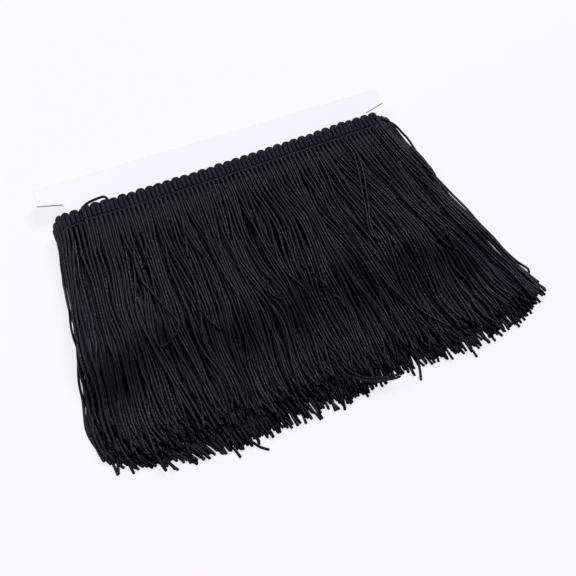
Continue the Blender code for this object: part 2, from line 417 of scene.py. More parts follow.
# %% Tube shape
def tube_rings(paths, ups, wide, thick, sides):
    """Ring points round each path: paths (cords, rings, 3), ups the outward normals."""
    along = np.gradient(paths, axis=1)
    along /= np.linalg.norm(along, axis=2, keepdims=True)
    side = np.cross(along, ups)
    side /= np.linalg.norm(side, axis=2, keepdims=True)
    out = np.cross(side, along)
    turn = (np.arange(sides) * 2 * math.pi / sides)[:, None]
    wide, thick = (np.broadcast_to(size, paths.shape[:2])[:, :, None, None] for size in (wide, thick))
    ring = side[:, :, None] * wide * np.cos(turn) + out[:, :, None] * thick * np.sin(turn)
    return paths[:, :, None] + ring


def tube_faces(cords, rings, sides):
    """Corner numbers of the walls (wall, 4) and of the end caps, all first ends before all last."""
    number = np.arange(cords * rings * sides).reshape(cords, rings, sides)
    ahead = np.roll(number, -1, axis=2)
    walls = np.stack([number[:, :-1], number[:, 1:], ahead[:, 1:], ahead[:, :-1]], axis=3)
    return walls.reshape(-1, 4), np.concatenate([number[:, 0, :], number[:, -1, ::-1]])


def mesh_from_arrays(name, points, quads, caps):
    """A smooth mesh from points (mm), four-sided faces and equal-sided end caps."""
    mesh = bpy.data.meshes.new(name)
    corners = np.concatenate([quads.ravel(), caps.ravel()])
    sizes = np.concatenate([np.full(len(quads), 4), np.full(len(caps), caps.shape[1])])
    starts = np.concatenate([[0], np.cumsum(sizes)[:-1]])
    mesh.vertices.add(len(points))
    mesh.vertices.foreach_set("co", to_metres(points).astype(np.float32).ravel())
    mesh.loops.add(len(corners))
    mesh.loops.foreach_set("vertex_index", corners.astype(np.int32))
    mesh.polygons.add(len(sizes))
    mesh.polygons.foreach_set("loop_start", starts.astype(np.int32))
    mesh.polygons.foreach_set("use_smooth", np.ones(len(sizes), bool))
    mesh.update(calc_edges=True)
    return mesh


walls, caps = tube_faces(1, 2, 6)
print("a six-sided tube of two rings has %d walls and %d caps" % (len(walls), len(caps)))

# %% Tube coordinates
STRIP_FILL = 0.88  # how much of its strip a cord's wall fills, across
STRIP_START, STRIP_LENGTH = 0.004, 0.98
CAP_ENDS = (0.002, 0.992)  # where the first and the last caps lie along the strip
CAP_LONG, CAP_WIDE = 0.004, 0.3  # half a cap's size, along the map and as a share of the strip


def tube_uvs(mesh, cords, rings, sides, along, offsets):
    """Writes the knit coordinates and the bake strips of a tube mesh."""
    shape = (cords, rings - 1, sides, 4)
    turn = np.arange(sides) / sides
    next_turn = turn + 1 / sides
    around = np.broadcast_to(np.stack([turn, turn, next_turn, next_turn], axis=1), shape)
    start, end = along[:, :-1, None], along[:, 1:, None]
    run = np.broadcast_to(np.stack([start, end, end, start], axis=3), shape)
    total = along[:, -1][:, None, None, None]
    cord = np.arange(cords)[:, None, None, None]
    strip = (cord + (1 - STRIP_FILL) / 2 + STRIP_FILL * around) / cords
    walls = {
        "cord": np.stack([around, run * MM + offsets[:, None, None, None]], axis=4),
        "OFBake": np.stack([STRIP_START + STRIP_LENGTH * run / total, strip], axis=4),
    }
    cap_turn = np.repeat([turn, turn[::-1]], cords, axis=0)
    spot = 2 * math.pi * cap_turn
    middle_u = np.repeat(CAP_ENDS, cords)[:, None]
    middle_v = (np.tile(np.arange(cords), 2)[:, None] + 0.5) / cords
    bake = (middle_u + CAP_LONG * np.cos(spot), middle_v + CAP_WIDE / cords * np.sin(spot))
    caps = {
        "cord": np.stack([cap_turn, np.zeros_like(cap_turn)], axis=2),
        "OFBake": np.stack(bake, axis=2),
    }
    for name, wall in walls.items():
        corners = np.concatenate([wall.reshape(-1, 2), caps[name].reshape(-1, 2)])
        mesh.uv_layers.new(name=name).uv.foreach_set("vector", corners.astype(np.float32).ravel())


print("each cord's wall fills %.0f %% of its strip" % (100 * STRIP_FILL))

# %% A piece of many cords
def cord_piece(name, paths, wide, thick, sides, material, ups=(0.0, 0.0, 1.0), offsets=None):
    """One object of many cords, linked to the scene, riding on the body."""
    cords, rings = paths.shape[:2]
    ups = np.broadcast_to(ups, paths.shape)
    walls, caps = tube_faces(cords, rings, sides)
    points = tube_rings(paths, ups, wide, thick, sides).reshape(-1, 3)
    mesh = mesh_from_arrays(name, points, walls, caps)
    steps = np.linalg.norm(np.diff(paths, axis=1), axis=2)
    along = np.concatenate([np.zeros((cords, 1)), np.cumsum(steps, axis=1)], axis=1)
    tube_uvs(mesh, cords, rings, sides, along, np.zeros(cords) if offsets is None else offsets)
    mesh.materials.append(material)
    piece = new_object(name, mesh)
    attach(piece, "root")
    triangles = len(walls) * 2 + len(caps) * (sides - 2)
    print("%s: %d cords, %d triangles" % (name, cords, triangles))
    return piece


print("cord_piece is ready for heading, fringe and strays")

# %% [markdown]
# ## The card
# A die-cut board, one millimetre thick, whose two back corners reach out as ears. Its outline
# is drawn once with rounded corners and given thickness; a bevel keeps the cut edges from
# looking like a computer's. The finish is matt white board with a cool cast and faint fibres.
# Painted light makes it a little lighter to the front left and darker to the back and the right,
# and painted shade greys its cut edges.

# %% Board finish
# painted light: the board's colour where it is shaded (back right) and where it is lit (front left)
BOARD_SHADED, BOARD_LIT = (0.731, 0.737, 0.733), (0.769, 0.775, 0.771)
# painted shade on the cut edges and their bevel, the faces that don't lie flat
BOARD_EDGE_SHADE = (0.42, 0.42, 0.45, 1.0)
SHADED_AT, LIT_AT, MOST_LIT = -0.115, -0.041, 0.8  # metres to the front left
RIGHT_SHARE = -0.25  # how much a metre to the right counts in that
MOTTLE, MOTTLE_SCALE = 0.25, 35.0
CUT_BELOW, FLAT_ABOVE = 0.4, 0.9  # how far a face lies flat before it is the board's own face
TOOTH_DEPTH, TOOTH_STRENGTH = 0.00004, 0.5
fibre, fibre_in, fibre_out = new_group(
    "board_fibres",
    (("Position", VECTOR, (0.0, 0.0, 0.0)), ("Scale", FLOAT, 900.0)),
    (("Height", FLOAT), ("Mottle", FLOAT)),
)
position, scale = fibre_in.outputs[:2]
fibre.links.new(noise(fibre, position, scale, 4.0, "3D"), fibre_out.inputs["Height"])
fibre.links.new(noise(fibre, position, MOTTLE_SCALE, 2.0, "3D"), fibre_out.inputs["Mottle"])

board_finish, tree, shader = new_material("white card board", BOARD_LIT, 0.85, 0.05)
place = add_node(tree, "ShaderNodeTexCoord")
group = add_node(tree, "ShaderNodeGroup", {"node_tree": fibre}, Position=place.outputs["Object"])
x, y, _ = split(tree, place.outputs["Object"])
front_left = calc(tree, "SUBTRACT", calc(tree, "MULTIPLY", x, RIGHT_SHARE), y)
# painted light, lighter to the front left, plus the board's own random mottle
lit_and_mottle = remap(tree, front_left, SHADED_AT, LIT_AT, 0.0, MOST_LIT)
lit_and_mottle = weighted_sum(tree, (lit_and_mottle, 1), (group.outputs["Mottle"], MOTTLE))
tone = mix_colours(tree, lit_and_mottle, (*BOARD_SHADED, 1.0), (*BOARD_LIT, 1.0))
flatness = calc(tree, "ABSOLUTE", split(tree, place.outputs["Normal"])[2])
# painted shade greys the faces that don't lie flat
whole = mix_colours(tree, remap(tree, flatness, CUT_BELOW, FLAT_ABOVE), BOARD_EDGE_SHADE, tone)
tree.links.new(whole, shader.inputs["Base Color"])
relief(tree, shader, group.outputs["Height"], TOOTH_DEPTH, TOOTH_STRENGTH)
print("board finish:", len(tree.nodes), "nodes")

# %% Card shape
EAR_TIP, EAR_ROOT = 12.0, 16.0  # mm from the back edge to the ear's front corner and to its root
EAR_RADII = {1: (2.5, 2.0), -1: (0.8, 0.8)}  # at the back and the front of the right and left ear
ROOT_RADIUS, FRONT_RADIUS = 1.0, 3.0
ARC_STEPS = 6


def rounded_outline(corners):
    """Points along a closed outline whose corners are (x, y, radius), as arcs."""
    points = []
    for i, (x, y, radius) in enumerate(corners):
        here = Vector((x, y))
        to_last = (Vector(corners[i - 1][:2]) - here).normalized()
        to_next = (Vector(corners[(i + 1) % len(corners)][:2]) - here).normalized()
        half = to_last.angle(to_next) / 2
        centre = here + (to_last + to_next).normalized() * radius / math.sin(half)
        start = (here + to_last * radius / math.tan(half) - centre).normalized()
        end = (here + to_next * radius / math.tan(half) - centre).normalized()
        points += [centre + start.slerp(end, k / ARC_STEPS) * radius for k in range(ARC_STEPS + 1)]
    return points


def half_outline(side):
    """Corners of the right (1) or left (-1) half of the card, from back to front."""
    return [
        (side * CARD_HALF, 0.0, EAR_RADII[side][0]),
        (side * CARD_HALF, -EAR_TIP, EAR_RADII[side][1]),
        (side * BODY_HALF, -EAR_ROOT, ROOT_RADIUS),
        (side * BODY_HALF, CARD_FRONT, FRONT_RADIUS),
    ]


outline = rounded_outline(half_outline(1) + half_outline(-1)[::-1])
print("card outline of", len(outline), "points")

# %% Card board
BEVEL = 0.12  # mm
low, high = BOARD_MIDDLE - BOARD_HALF, BOARD_MIDDLE + BOARD_HALF
count = len(outline)
card_points = [(p.x, p.y, z) for z in (low, high) for p in outline]
bottom_face, top_face = list(range(count)), list(range(2 * count - 1, count - 1, -1))
cut_faces = [(k, k + count, (k + 1) % count + count, (k + 1) % count) for k in range(count)]
card_mesh = bpy.data.meshes.new("card_board")
card_mesh.from_pydata(to_metres(card_points).tolist(), [], [bottom_face, top_face, *cut_faces])
card_mesh.materials.append(board_finish)
card = new_object("card_board", card_mesh)
edge = card.modifiers.new("cut edge", "BEVEL")
edge.width = BEVEL * MM
edge.segments = 2
edge.limit_method = "ANGLE"
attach(card, "root")
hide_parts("card")
print("card board from z %.1f to %.1f mm" % (low, high))

# %% [markdown]
# ## How the trim is wound
# Seen from the end, the trim runs round the card's body in flat turns: under the card, round
# the right edge, back over the top, round the left edge, and each turn lies on the last. The
# path below is that spiral as (x, z) with its outward normal. Cutting it every 2.5 mm gives
# the root of every strand; that one number sets how dense the whole fringe looks.

# %% Bends of the winding
TURNS = 5
TURN_THICKNESS = 1.85
FIRST_TURN_GAP = 0.35  # air between the board and the innermost turn
BEND_FULLNESS = {1: 1.0, -1: 1.75}  # 2 would be a round bend, 1 a straight slope
BEND_DROOP = {1: 1.6, -1: 3.6}  # mm that a bend's furthest point hangs below the board
LEFT_SLUMP = 2.6  # mm that the loose left bends stand out further than they must
RIB_HALF_THICKNESS = 0.86  # mm, of the cords that make the heading
BEND_STEPS = 60


def turn_offset(turn):
    """How far the middle of a turn lies from the middle of the board."""
    return BOARD_HALF + FIRST_TURN_GAP + (turn + 0.5) * TURN_THICKNESS


def bend(side, slack, first_offset, last_offset, start, end):
    """Points (x, z) round one edge of the card, from start to end: 0 is below it, 1 above.

    The slack cords don't keep a round bend: they slump to a slope over the card's edge.
    """
    corner = 2 / BEND_FULLNESS[side]
    for k in range(1, BEND_STEPS):
        share = k / BEND_STEPS
        angle = math.pi * (start + (end - start) * share)
        offset = first_offset + (last_offset - first_offset) * share
        reach, rise = math.sin(angle) ** corner, abs(math.cos(angle)) ** corner
        z = BOARD_MIDDLE - math.copysign(offset * rise, math.cos(angle)) - BEND_DROOP[side] * reach
        yield side * (BODY_HALF + slack * offset * reach), max(z, RIB_HALF_THICKNESS)


print("turns %.1f to %.1f mm from the board's middle" % (turn_offset(0), turn_offset(TURNS - 1)))

# %% Winding path
STRAND_PITCH = 2.5  # mm of trim for each strand
INNER_END, OUTER_END = -60.0, -84.0  # x where the trim starts below and stops on top
STRAIGHT_POINTS = 160


def winding_path():
    """The spiral as an array of (x, z, nx, nz, turn) and the distance along it in mm."""
    outermost = turn_offset(TURNS - 0.5)
    points = []
    for turn in range(TURNS):
        here = turn_offset(turn)
        left = INNER_END if turn == 0 else -BODY_HALF
        line = [(x, BOARD_MIDDLE - here) for x in np.linspace(left, BODY_HALF, STRAIGHT_POINTS)]
        line += bend(1, TURNS_RIGHT / outermost, here, here, 0, 1)
        left = OUTER_END if turn == TURNS - 1 else -BODY_HALF
        line += [(x, BOARD_MIDDLE + here) for x in np.linspace(BODY_HALF, left, STRAIGHT_POINTS)]
        if turn < TURNS - 1:
            slack = (TURNS_LEFT + LEFT_SLUMP) / outermost
            line += bend(-1, slack, here, turn_offset(turn + 1), 1, 0)
        points += [(x, z, turn) for x, z in line]
    points = np.array(points)
    run = np.gradient(points[:, :2], axis=0)
    run /= np.linalg.norm(run, axis=1, keepdims=True)
    steps = np.hypot(*np.diff(points[:, :2], axis=0).T)
    points = np.column_stack([points[:, :2], run[:, 1], -run[:, 0], points[:, 2]])
    return points, np.concatenate([[0], np.cumsum(steps)])


path_points, path_at = winding_path()
TRIM_LENGTH = path_at[-1]


def on_path(at):
    """(x, z, nx, nz) at distances along the trim."""
    at = np.asarray(at)
    return np.stack([np.interp(at, path_at, column) for column in path_points.T[:4]], axis=-1)


root_at = (np.arange(int(TRIM_LENGTH / STRAND_PITCH / 2) * 2) + 0.5) * STRAND_PITCH
root_turn = path_points[np.searchsorted(path_at, root_at), 4].astype(int)
print("trim %.0f mm long, %d strands" % (TRIM_LENGTH, len(root_at)))

# %% [markdown]
# The winding lies slightly askew on the card, and its two ends lie a little further back than
# the middle. One function says where the scalloped edge is for each x, and every piece of the
# trim asks it.

# %% Where the heading lies
HEADING_DEPTH = 10.0
HEADING_BACK = 27.2  # mm from the card's back edge to the scallops
HEADING_SKEW = 4.5 / 190
HEADING_BOW = 0.9
# mm that the left end is pulled back, and from where and over what length
END_LIFT, END_LIFT_FROM, END_LIFT_OVER = 1.1, 55, 35


def ease(t):
    """0 below 0, 1 above 1, smooth between."""
    t = np.clip(t, 0.0, 1.0)
    return t * t * (3 - 2 * t)


def scallop_edge(x):
    """y of the heading's scalloped edge."""
    x = np.asarray(x, float)
    bow = HEADING_BOW * (x / CARD_HALF) ** 2 + END_LIFT * ease((-x - END_LIFT_FROM) / END_LIFT_OVER)
    return -HEADING_BACK + HEADING_SKEW * x + bow


print("scalloped edge: y %.1f to %.1f mm" % (scallop_edge(-CARD_HALF), scallop_edge(CARD_HALF)))

# %% [markdown]
# ## The looped heading
# Each pair of strands is one cord: up, round a tight loop at the top, and down again. The loops
# make the scallops. A row of chain stitches ten millimetres down squeezes the cords where it
# crosses them. So the heading is made as 390 U-shaped tubes in the winding's own coordinates
# (along the trim, down from the scallops, outwards), which are then bent round the card. Each
# tube has its rings closest at the stitches and round the loop.

# %% One loop
LOOP_RISE = 0.8  # how far the loop's middle line arches above its two legs
RIB_HALF_WIDTH, LOOP_HALF_WIDTH = 1.1, 1.3
LOOP_BLEND = 2.4  # mm over which the flat rib turns into the loop
STRAND_RADIUS = 0.61
BUD_RADIUS, BUD_OPENS = 0.67, 1.5  # where a cord comes out below the stitches, and over what
STITCH_ROW, STITCH_REACH = 9.7, 0.8  # mm below the scallops, and to each side of the row
SQUEEZE = 0.5  # how much of their thickness the cords lose under the stitches
STITCH_WAIST, STITCH_SINK, BUD_SINK = 0.30, 0.34, 0.25  # mm narrower, and mm nearer the card
LEG_RINGS = np.array((11.6, 10.9, 10.3, 9.7, 9.1, 8.4, 7.0, 4.8, 3.2))
LOOP_STEPS = 9


def loop_outline():
    """One U loop: distance along from its middle, depth below the scallop, its radii and lift."""
    half = STRAND_PITCH / 2
    angle = np.linspace(math.pi, 0, LOOP_STEPS + 1)
    leg = np.full(len(LEG_RINGS), half)
    along = np.concatenate([-leg, half * np.cos(angle), leg])
    arch = LOOP_HALF_WIDTH + LOOP_RISE * (1 - np.sin(angle))
    depth = np.concatenate([LEG_RINGS, arch, LEG_RINGS[::-1]])
    under_stitch = np.exp(-(((depth - STITCH_ROW) / STITCH_REACH) ** 2))
    bud = ease((depth - STITCH_ROW) / BUD_OPENS)
    arched = ease((LOOP_HALF_WIDTH + LOOP_RISE + LOOP_BLEND - depth) / LOOP_BLEND)
    wide = RIB_HALF_WIDTH + (LOOP_HALF_WIDTH - RIB_HALF_WIDTH) * arched
    wide = (wide - STITCH_WAIST * under_stitch) * (1 - bud) + BUD_RADIUS * bud
    thick = RIB_HALF_THICKNESS * (1 - SQUEEZE * under_stitch) * (1 - bud) + BUD_RADIUS * bud
    return along, depth, wide, thick, -STITCH_SINK * under_stitch - BUD_SINK * bud


print("a loop has %d rings" % len(loop_outline()[0]))

# %% Heading loops
LEG_HELD = 9  # mm below the scallops from where the stitches hold the cords in line
LOOSE_OVER, FLARE_OVER = 6, 8  # mm above that over which a loop comes free, and flares
BEND_OVER = 4  # mm about the card's edge over which the loops come onto the bend
LOOP_SHIFT, LOOP_STRETCH, LOOP_LIFT = 0.14, 0.24, 0.08  # mm that the free loops vary
BEND_STRETCH = 1.6  # how much more the loops vary in length round the bends
LOOP_FLARE, FLARE_SPREAD = 0.25, (0.4, 1.5)  # mm that the left bend's loops lean out, and spread
rng = np.random.default_rng(11)


def heading_loops():
    """Paths, outward normals and radii of all the loops."""
    along, depth, wide, thick, lift = loop_outline()
    middles = root_at.reshape(-1, 2).mean(axis=1)[:, None]
    count = len(middles)
    free = ease((LEG_HELD - depth) / LOOSE_OVER)
    shift = rng.normal(0, LOOP_SHIFT, (count, 1)) * free
    x, z, nx, nz = np.moveaxis(on_path(np.clip(middles + along + shift, 0, TRIM_LENGTH)), -1, 0)
    on_bend = ease((np.abs(x) - BODY_HALF + BEND_OVER / 2) / BEND_OVER)
    flare = LOOP_FLARE * rng.uniform(*FLARE_SPREAD, (count, 1)) * on_bend * (x < 0)
    flare *= ease((LEG_HELD - depth) / FLARE_OVER)
    stretch = rng.normal(0, LOOP_STRETCH, (count, 1)) * free * (1 + BEND_STRETCH * on_bend)
    out = lift + rng.normal(0, LOOP_LIFT, (count, 1)) + flare
    paths = np.stack([x + nx * out, scallop_edge(x) - depth + stretch, z + nz * out], axis=2)
    return paths, np.stack([nx, np.zeros_like(nx), nz], axis=2), wide, thick


paths, ups, wide, thick = heading_loops()
shade = rng.uniform(0, 9, len(paths))  # metres along the knit's noise, so that no two are alike
heading = cord_piece("looped_heading", paths, wide, thick, 8, heading_finish, ups, shade)
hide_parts("heading")

# %% [markdown]
# The stitches are a chain of thinner thread: two lines that cross between the cords and open
# into an eye over each of them. They catch the light as a row of small bright knots.

# %% Chain stitches
THREAD_RADIUS = 0.30
THREAD_SUNK, THREAD_ARCH = 0.55, 0.62  # mm that it dips between the cords and rises over them
EYE_HALF_WIDTH, EYE_CROSSING = 0.62, 0.35  # the threads cross at that share of their rise
CHAIN_RINGS = 8  # rings of thread for each strand


def chain_line(side):
    """Path and outward normals of one of the two threads of the chain."""
    at = np.arange(CHAIN_RINGS * len(root_at)) * STRAND_PITCH / CHAIN_RINGS
    x, z, nx, nz = on_path(at).T
    over = np.abs(np.sin(math.pi * at / STRAND_PITCH))
    out = RIB_HALF_THICKNESS * (1 - SQUEEZE) - STITCH_SINK - THREAD_SUNK + THREAD_ARCH * over
    y = scallop_edge(x) - STITCH_ROW + side * EYE_HALF_WIDTH * (over - EYE_CROSSING)
    path = np.stack([x + nx * out, y, z + nz * out], axis=1)
    return path, np.stack([nx, np.zeros_like(nx), nz], axis=1)


paths, ups = map(np.stack, zip(chain_line(-1), chain_line(1)))
stitches = cord_piece("heading_stitches", paths, THREAD_RADIUS, THREAD_RADIUS, 5, stitch_finish, ups)
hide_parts("heading")

# %% [markdown]
# ## Settling the fringe
# Eight hundred cords can't be placed by hand, and Blender's cloth has no cheap rope. But the
# cords all run forward, so they can be cut into slices: in each slice, a cord is one round dot
# at (x, z). Gravity pulls the dots down, each cord resists bending from slice to slice, the
# table and the card hold them up, and dots that overlap push each other apart. A few hundred
# small steps of that, all in numpy, and the pile looks as if it was combed out on a table.

# %% Slices and strand roots
SLICE = 2.5  # mm between slices
STRAND_LENGTH = 141.0  # mm that the slices reach at least
STRAIGHT = 7.0  # mm below the heading where the strands still lie side by side
SLICES = int(STRAND_LENGTH / SLICE) + 3
DROP_BEFORE, DROP_OVER = 2.0, 32.0  # mm before the card's front edge, and over which the pile drops
root_x, root_z = on_path(root_at).T[:2]
STRANDS = len(root_x)
slice_run = SLICE * np.arange(SLICES)[:, None]
fringe_start = scallop_edge(root_x) - HEADING_DEPTH
slice_y = fringe_start[None, :] - slice_run
free_run = np.maximum(slice_run[:, 0] - STRAIGHT, 0)
share = free_run / (STRAND_LENGTH - STRAIGHT)  # how far along the free part each slice is
on_top = root_z > BOARD_MIDDLE
past_card = ease((CARD_FRONT - slice_y + DROP_BEFORE) / DROP_OVER)
print("%d strands in %d slices" % (STRANDS, SLICES))

# %% [markdown]
# Where each strand would like to go is a table: how far it has moved to the right, for its
# place across the fringe and its share of the length. The right side fans out, the left side
# bulges and comes back in. On top of that come soft waves that neighbours share, small locks of
# strands that cling together, and each cord's own wander.

# %% Fan
# share of the length; shift to the right (mm) at 0, 0.07, 0.2, 0.4, 0.6, 0.72, 0.85 and 1 across
FAN_ACROSS = (0.0, 0.07, 0.2, 0.4, 0.6, 0.72, 0.85, 1.0)
FAN = (
    (0.00, 0.0, 0.0, 0.0, 0.0, 0.0, 0.0, 0.0, 0.0),
    (0.04, -2.1, -0.8, -0.1, 0.1, 0.2, 0.7, 1.5, 2.9),
    (0.08, -2.5, -1.5, -0.3, 0.1, 0.5, 1.6, 3.2, 6.2),
    (0.20, -2.2, -2.2, -0.4, 0.4, 1.5, 4.5, 6.5, 8.5),
    (0.40, -5.0, -4.0, 0.2, 0.9, 3.2, 9.0, 12.5, 11.4),
    (0.55, -6.6, -5.0, 0.6, 1.2, 4.6, 12.0, 17.0, 16.8),
    (0.72, -9.9, -6.8, 1.0, 1.5, 6.0, 15.0, 21.5, 24.6),
    (0.86, -8.0, -4.8, 2.2, 2.0, 7.0, 17.0, 24.5, 32.0),
    (1.00, 3.4, 3.6, 5.0, 2.8, 8.0, 18.5, 27.0, 37.5),
)
FRINGE_LEFT, FRINGE_RIGHT = -100.0, 104.0
across = np.clip((root_x - FRINGE_LEFT) / (FRINGE_RIGHT - FRINGE_LEFT), 0, 1)


def fan_shift():
    """Shift of every strand in every slice, from the table."""
    table = np.array(FAN)
    at_share = np.array([np.interp(share, table[:, 0], column) for column in table[:, 1:].T])
    return np.array([np.interp(across, FAN_ACROSS, row) for row in at_share.T])


print("the fan moves the tips by up to %.0f mm" % fan_shift().max())

# %% Random waves
WAVE_WIDTHS, WAVE_LENGTHS = (25, 90), (45, 120)  # mm across the fringe and along it
LOCK_SIZES = (2, 8)  # strands in a lock, from the first up to but without the second


def wander(knots, count, rng, keep=0.8):
    """Smooth random curves (slices, count) that start at zero and stray back and forth."""
    steps = rng.normal(size=(knots, count))
    steps[0] = 0
    for knot in range(1, knots):
        steps[knot] += keep * steps[knot - 1]
    at = np.linspace(0, knots - 1, SLICES)
    low = np.minimum(at.astype(int), knots - 2)
    mix = ease(at - low)[:, None]
    return steps[low] * (1 - mix) + steps[low + 1] * mix


def soft_waves(x, rng, waves=14):
    """A field of long soft waves: near neighbours sway together."""
    total = np.zeros((SLICES, len(x)))
    run = free_run[:, None]
    for _ in range(waves):
        width = rng.uniform(*WAVE_WIDTHS)
        length = rng.uniform(*WAVE_LENGTHS)
        phase, tilt = rng.uniform(0, 2 * math.pi, 2)
        total += np.sin(2 * math.pi * (x[None, :] / width + np.cos(tilt) * run / length) + phase)
    return total * math.sqrt(2 / waves)


def lock_numbers(rng):
    """Splits the strands, in winding order, into clinging locks of two to seven."""
    sizes = rng.integers(*LOCK_SIZES, STRANDS)
    return np.searchsorted(np.cumsum(sizes), np.arange(STRANDS), side="right")


print("waves and locks ready")

# %% Where the strands are drawn
COMMON_WAVE, TURN_WAVE, LOCK_WANDER, STRAND_WANDER, RIDER_WANDER = 1.2, 0.8, 0.9, 0.5, 2.4  # mm
GROW_OVER, GROW_EARLY = 0.3, 0.02  # shares of the length over which the waves grow, and sooner
EARLY_WANDER, EARLY_OVER = 0.35, 8  # of the strands' own wander comes in the first free mm
CLING, LOWER_CLING = (0.1, 0.8), 0.35  # how close a lock draws together, and less below the card
LEFT_CALM, RIGHT_CALM = 0.12, 0.2  # shares of the width at the two sides where the waves die down
TIP_SWEEP, TIP_SWEEP_FROM = 6.0, 0.86  # mm that the lower left tips curl right, and from where
SWEEP_WIDTH = 0.5  # share of the width from the left that sweeps
RIDER_SHARE = 0.08  # of the upper strands cross their neighbours
TUCK_WITHIN, TUCK_TO, TUCK_FADE = 4, 12, 16  # mm below the heading where strands tuck in, and fade
LOCK_KNOTS, STRAND_KNOTS, RIDER_KNOTS = 9, 15, 8  # turning points along a wander
rng = np.random.default_rng(7)
riders = on_top & (root_turn >= TURNS - 2) & (rng.random(STRANDS) < RIDER_SHARE)
tucked = on_top & (root_turn == TURNS - 2) & (np.abs(root_x) < BODY_HALF)
outer_x = root_x[on_top & (root_turn == TURNS - 1)][-1]
tuck_shift = STRAND_PITCH / 2 - (root_x - outer_x) % STRAND_PITCH
near_heading = ease(slice_run / TUCK_WITHIN) * (1 - ease((slice_run - TUCK_TO) / TUCK_FADE))


def aims(rng):
    """x that each strand is drawn to in each slice."""
    fan = root_x[None, :] + fan_shift()
    lock = lock_numbers(rng)
    size = np.maximum(np.bincount(lock), 1)
    middle = np.stack([np.bincount(lock, row) / size for row in fan])[:, lock]
    grow = ease((share + GROW_EARLY) / GROW_OVER)[:, None]
    cling = rng.uniform(*CLING, len(size))[lock] * np.where(on_top, 1.0, LOWER_CLING)
    aim = fan + (middle - fan) * cling * grow
    inside = ease(across / LEFT_CALM) * ease((1 - across) / RIGHT_CALM)
    aim += COMMON_WAVE * soft_waves(root_x, rng) * grow * inside
    for turn in range(TURNS):
        aim += TURN_WAVE * soft_waves(root_x, rng) * grow * inside * (root_turn == turn)
    aim += LOCK_WANDER * wander(LOCK_KNOTS, len(size), rng)[:, lock] * grow
    early = EARLY_WANDER * ease(free_run / EARLY_OVER)[:, None]
    aim += STRAND_WANDER * wander(STRAND_KNOTS, STRANDS, rng) * np.maximum(grow, early)
    aim += tuck_shift * tucked * near_heading
    at_tip = ease((share[:, None] - TIP_SWEEP_FROM) / (1 - TIP_SWEEP_FROM))
    aim += TIP_SWEEP * ~on_top * (1 - ease(across / SWEEP_WIDTH)) * at_tip
    return aim + riders * RIDER_WANDER * wander(RIDER_KNOTS, STRANDS, rng, 0.9) * grow * inside


aim_x = aims(rng)
print("tips aim between x %.0f and %.0f mm" % (aim_x[-1].min(), aim_x[-1].max()))

# %% [markdown]
# The pile also needs a height to hang at. Under the card the strands stay propped between card
# and table; past the card's front edge the whole pile drops. So each strand has a soft resting
# height that follows its place in the winding, scaled by a short profile of the pile's top.

# %% Pile profile
# share of the length, top of the pile (mm)
PILE_TOP = (
    (0.0, 19.8), (0.08, 19.2), (0.2, 18.0), (0.4, 16.8), (0.5, 15.8), (0.62, 13.4), (0.76, 11.4),
    (1.1, 10.4),
)
HEIGHT_WAVE = 0.7  # mm that locks of the upper strands rise and sink
TUCK_RISE = 0.95  # mm that the second turn's strands rise into the gaps of the first
RIDER_LIFT = 1.6  # mm that a crossing cord starts above the pile that it crosses
RIDER_FROM, RIDER_OVER = 0.08, 0.1  # shares of the length where it rises


def rest_heights():
    """z that each strand is drawn to in each slice."""
    top = np.interp(share, *np.array(PILE_TOP).T)[:, None]
    room = (top - STRAND_RADIUS - BOARD_MIDDLE - BOARD_HALF) / (WINDING_HEIGHT / 2 - STRAND_RADIUS)
    above = BOARD_MIDDLE + BOARD_HALF + (root_z - BOARD_MIDDLE - BOARD_HALF) * np.clip(room, 0, 1)
    near_card = np.where(on_top, above, root_z)
    loose = STRAND_RADIUS + (root_z - STRAND_RADIUS) * (top - 2 * STRAND_RADIUS) / WINDING_HEIGHT
    settled = near_card * (1 - past_card) + loose * past_card
    settled += TUCK_RISE * tucked * near_heading
    waves = soft_waves(root_x, np.random.default_rng(5), 30)
    settled += HEIGHT_WAVE * waves * on_top * ease(share / GROW_OVER)[:, None]
    return settled + riders * RIDER_LIFT * ease((share - RIDER_FROM) / RIDER_OVER)[:, None]


rest_z = rest_heights()
print("pile rests between z %.1f and %.1f mm at the tips" % (rest_z[-4].min(), rest_z[-4].max()))

# %% [markdown]
# ## One settling step
# Comparing every dot with every other would be slow. The dots are sorted into cells a little
# wider than a contact, and each is compared only with those in its own and adjoining cells.
# Then come the forces on a cord: it resists bending, it is pushed off its neighbours, the table
# and the card hold it up, and hidden cords close the gaps that would let the card show.

# %% Neighbour search
CELL = 2.2  # mm
COLUMNS, LEVELS = 400, 40  # more cells than a slice of the pile can need


def near_pairs(x, z):
    """Indices of all the dots that share or adjoin a cell within their slice."""
    count = x.size
    slice_number = np.repeat(np.arange(SLICES), STRANDS)
    column = np.floor(x.ravel() / CELL).astype(np.int64) + COLUMNS // 2
    level = np.floor(z.ravel() / CELL).astype(np.int64) + 2
    key = (slice_number * COLUMNS + column) * LEVELS + level
    order = np.argsort(key, kind="stable")
    key = key[order]
    first, second = [], []
    for right, up in ((0, 0), (1, 0), (0, 1), (1, 1), (1, -1)):
        wanted = key + right * LEVELS + up
        start = np.arange(count) + 1 if right == up == 0 else np.searchsorted(key, wanted, "left")
        end = np.searchsorted(key, wanted, "right")
        found = np.maximum(end - start, 0)
        here = np.repeat(np.arange(count), found)
        step = np.arange(found.sum()) - np.repeat(np.cumsum(found) - found, found)
        first.append(order[here])
        second.append(order[np.repeat(start, found) + step])
    return np.concatenate(first), np.concatenate(second)


print("%d pairs at the start" % len(near_pairs(aim_x, rest_z)[0]))

# %% Bending and contact
CONTACT = 1.40  # mm between the middles of two touching strands
CROWDED = 0.55  # a cord with many contacts moves this much less for each
FIXED = 2  # slices held by the heading


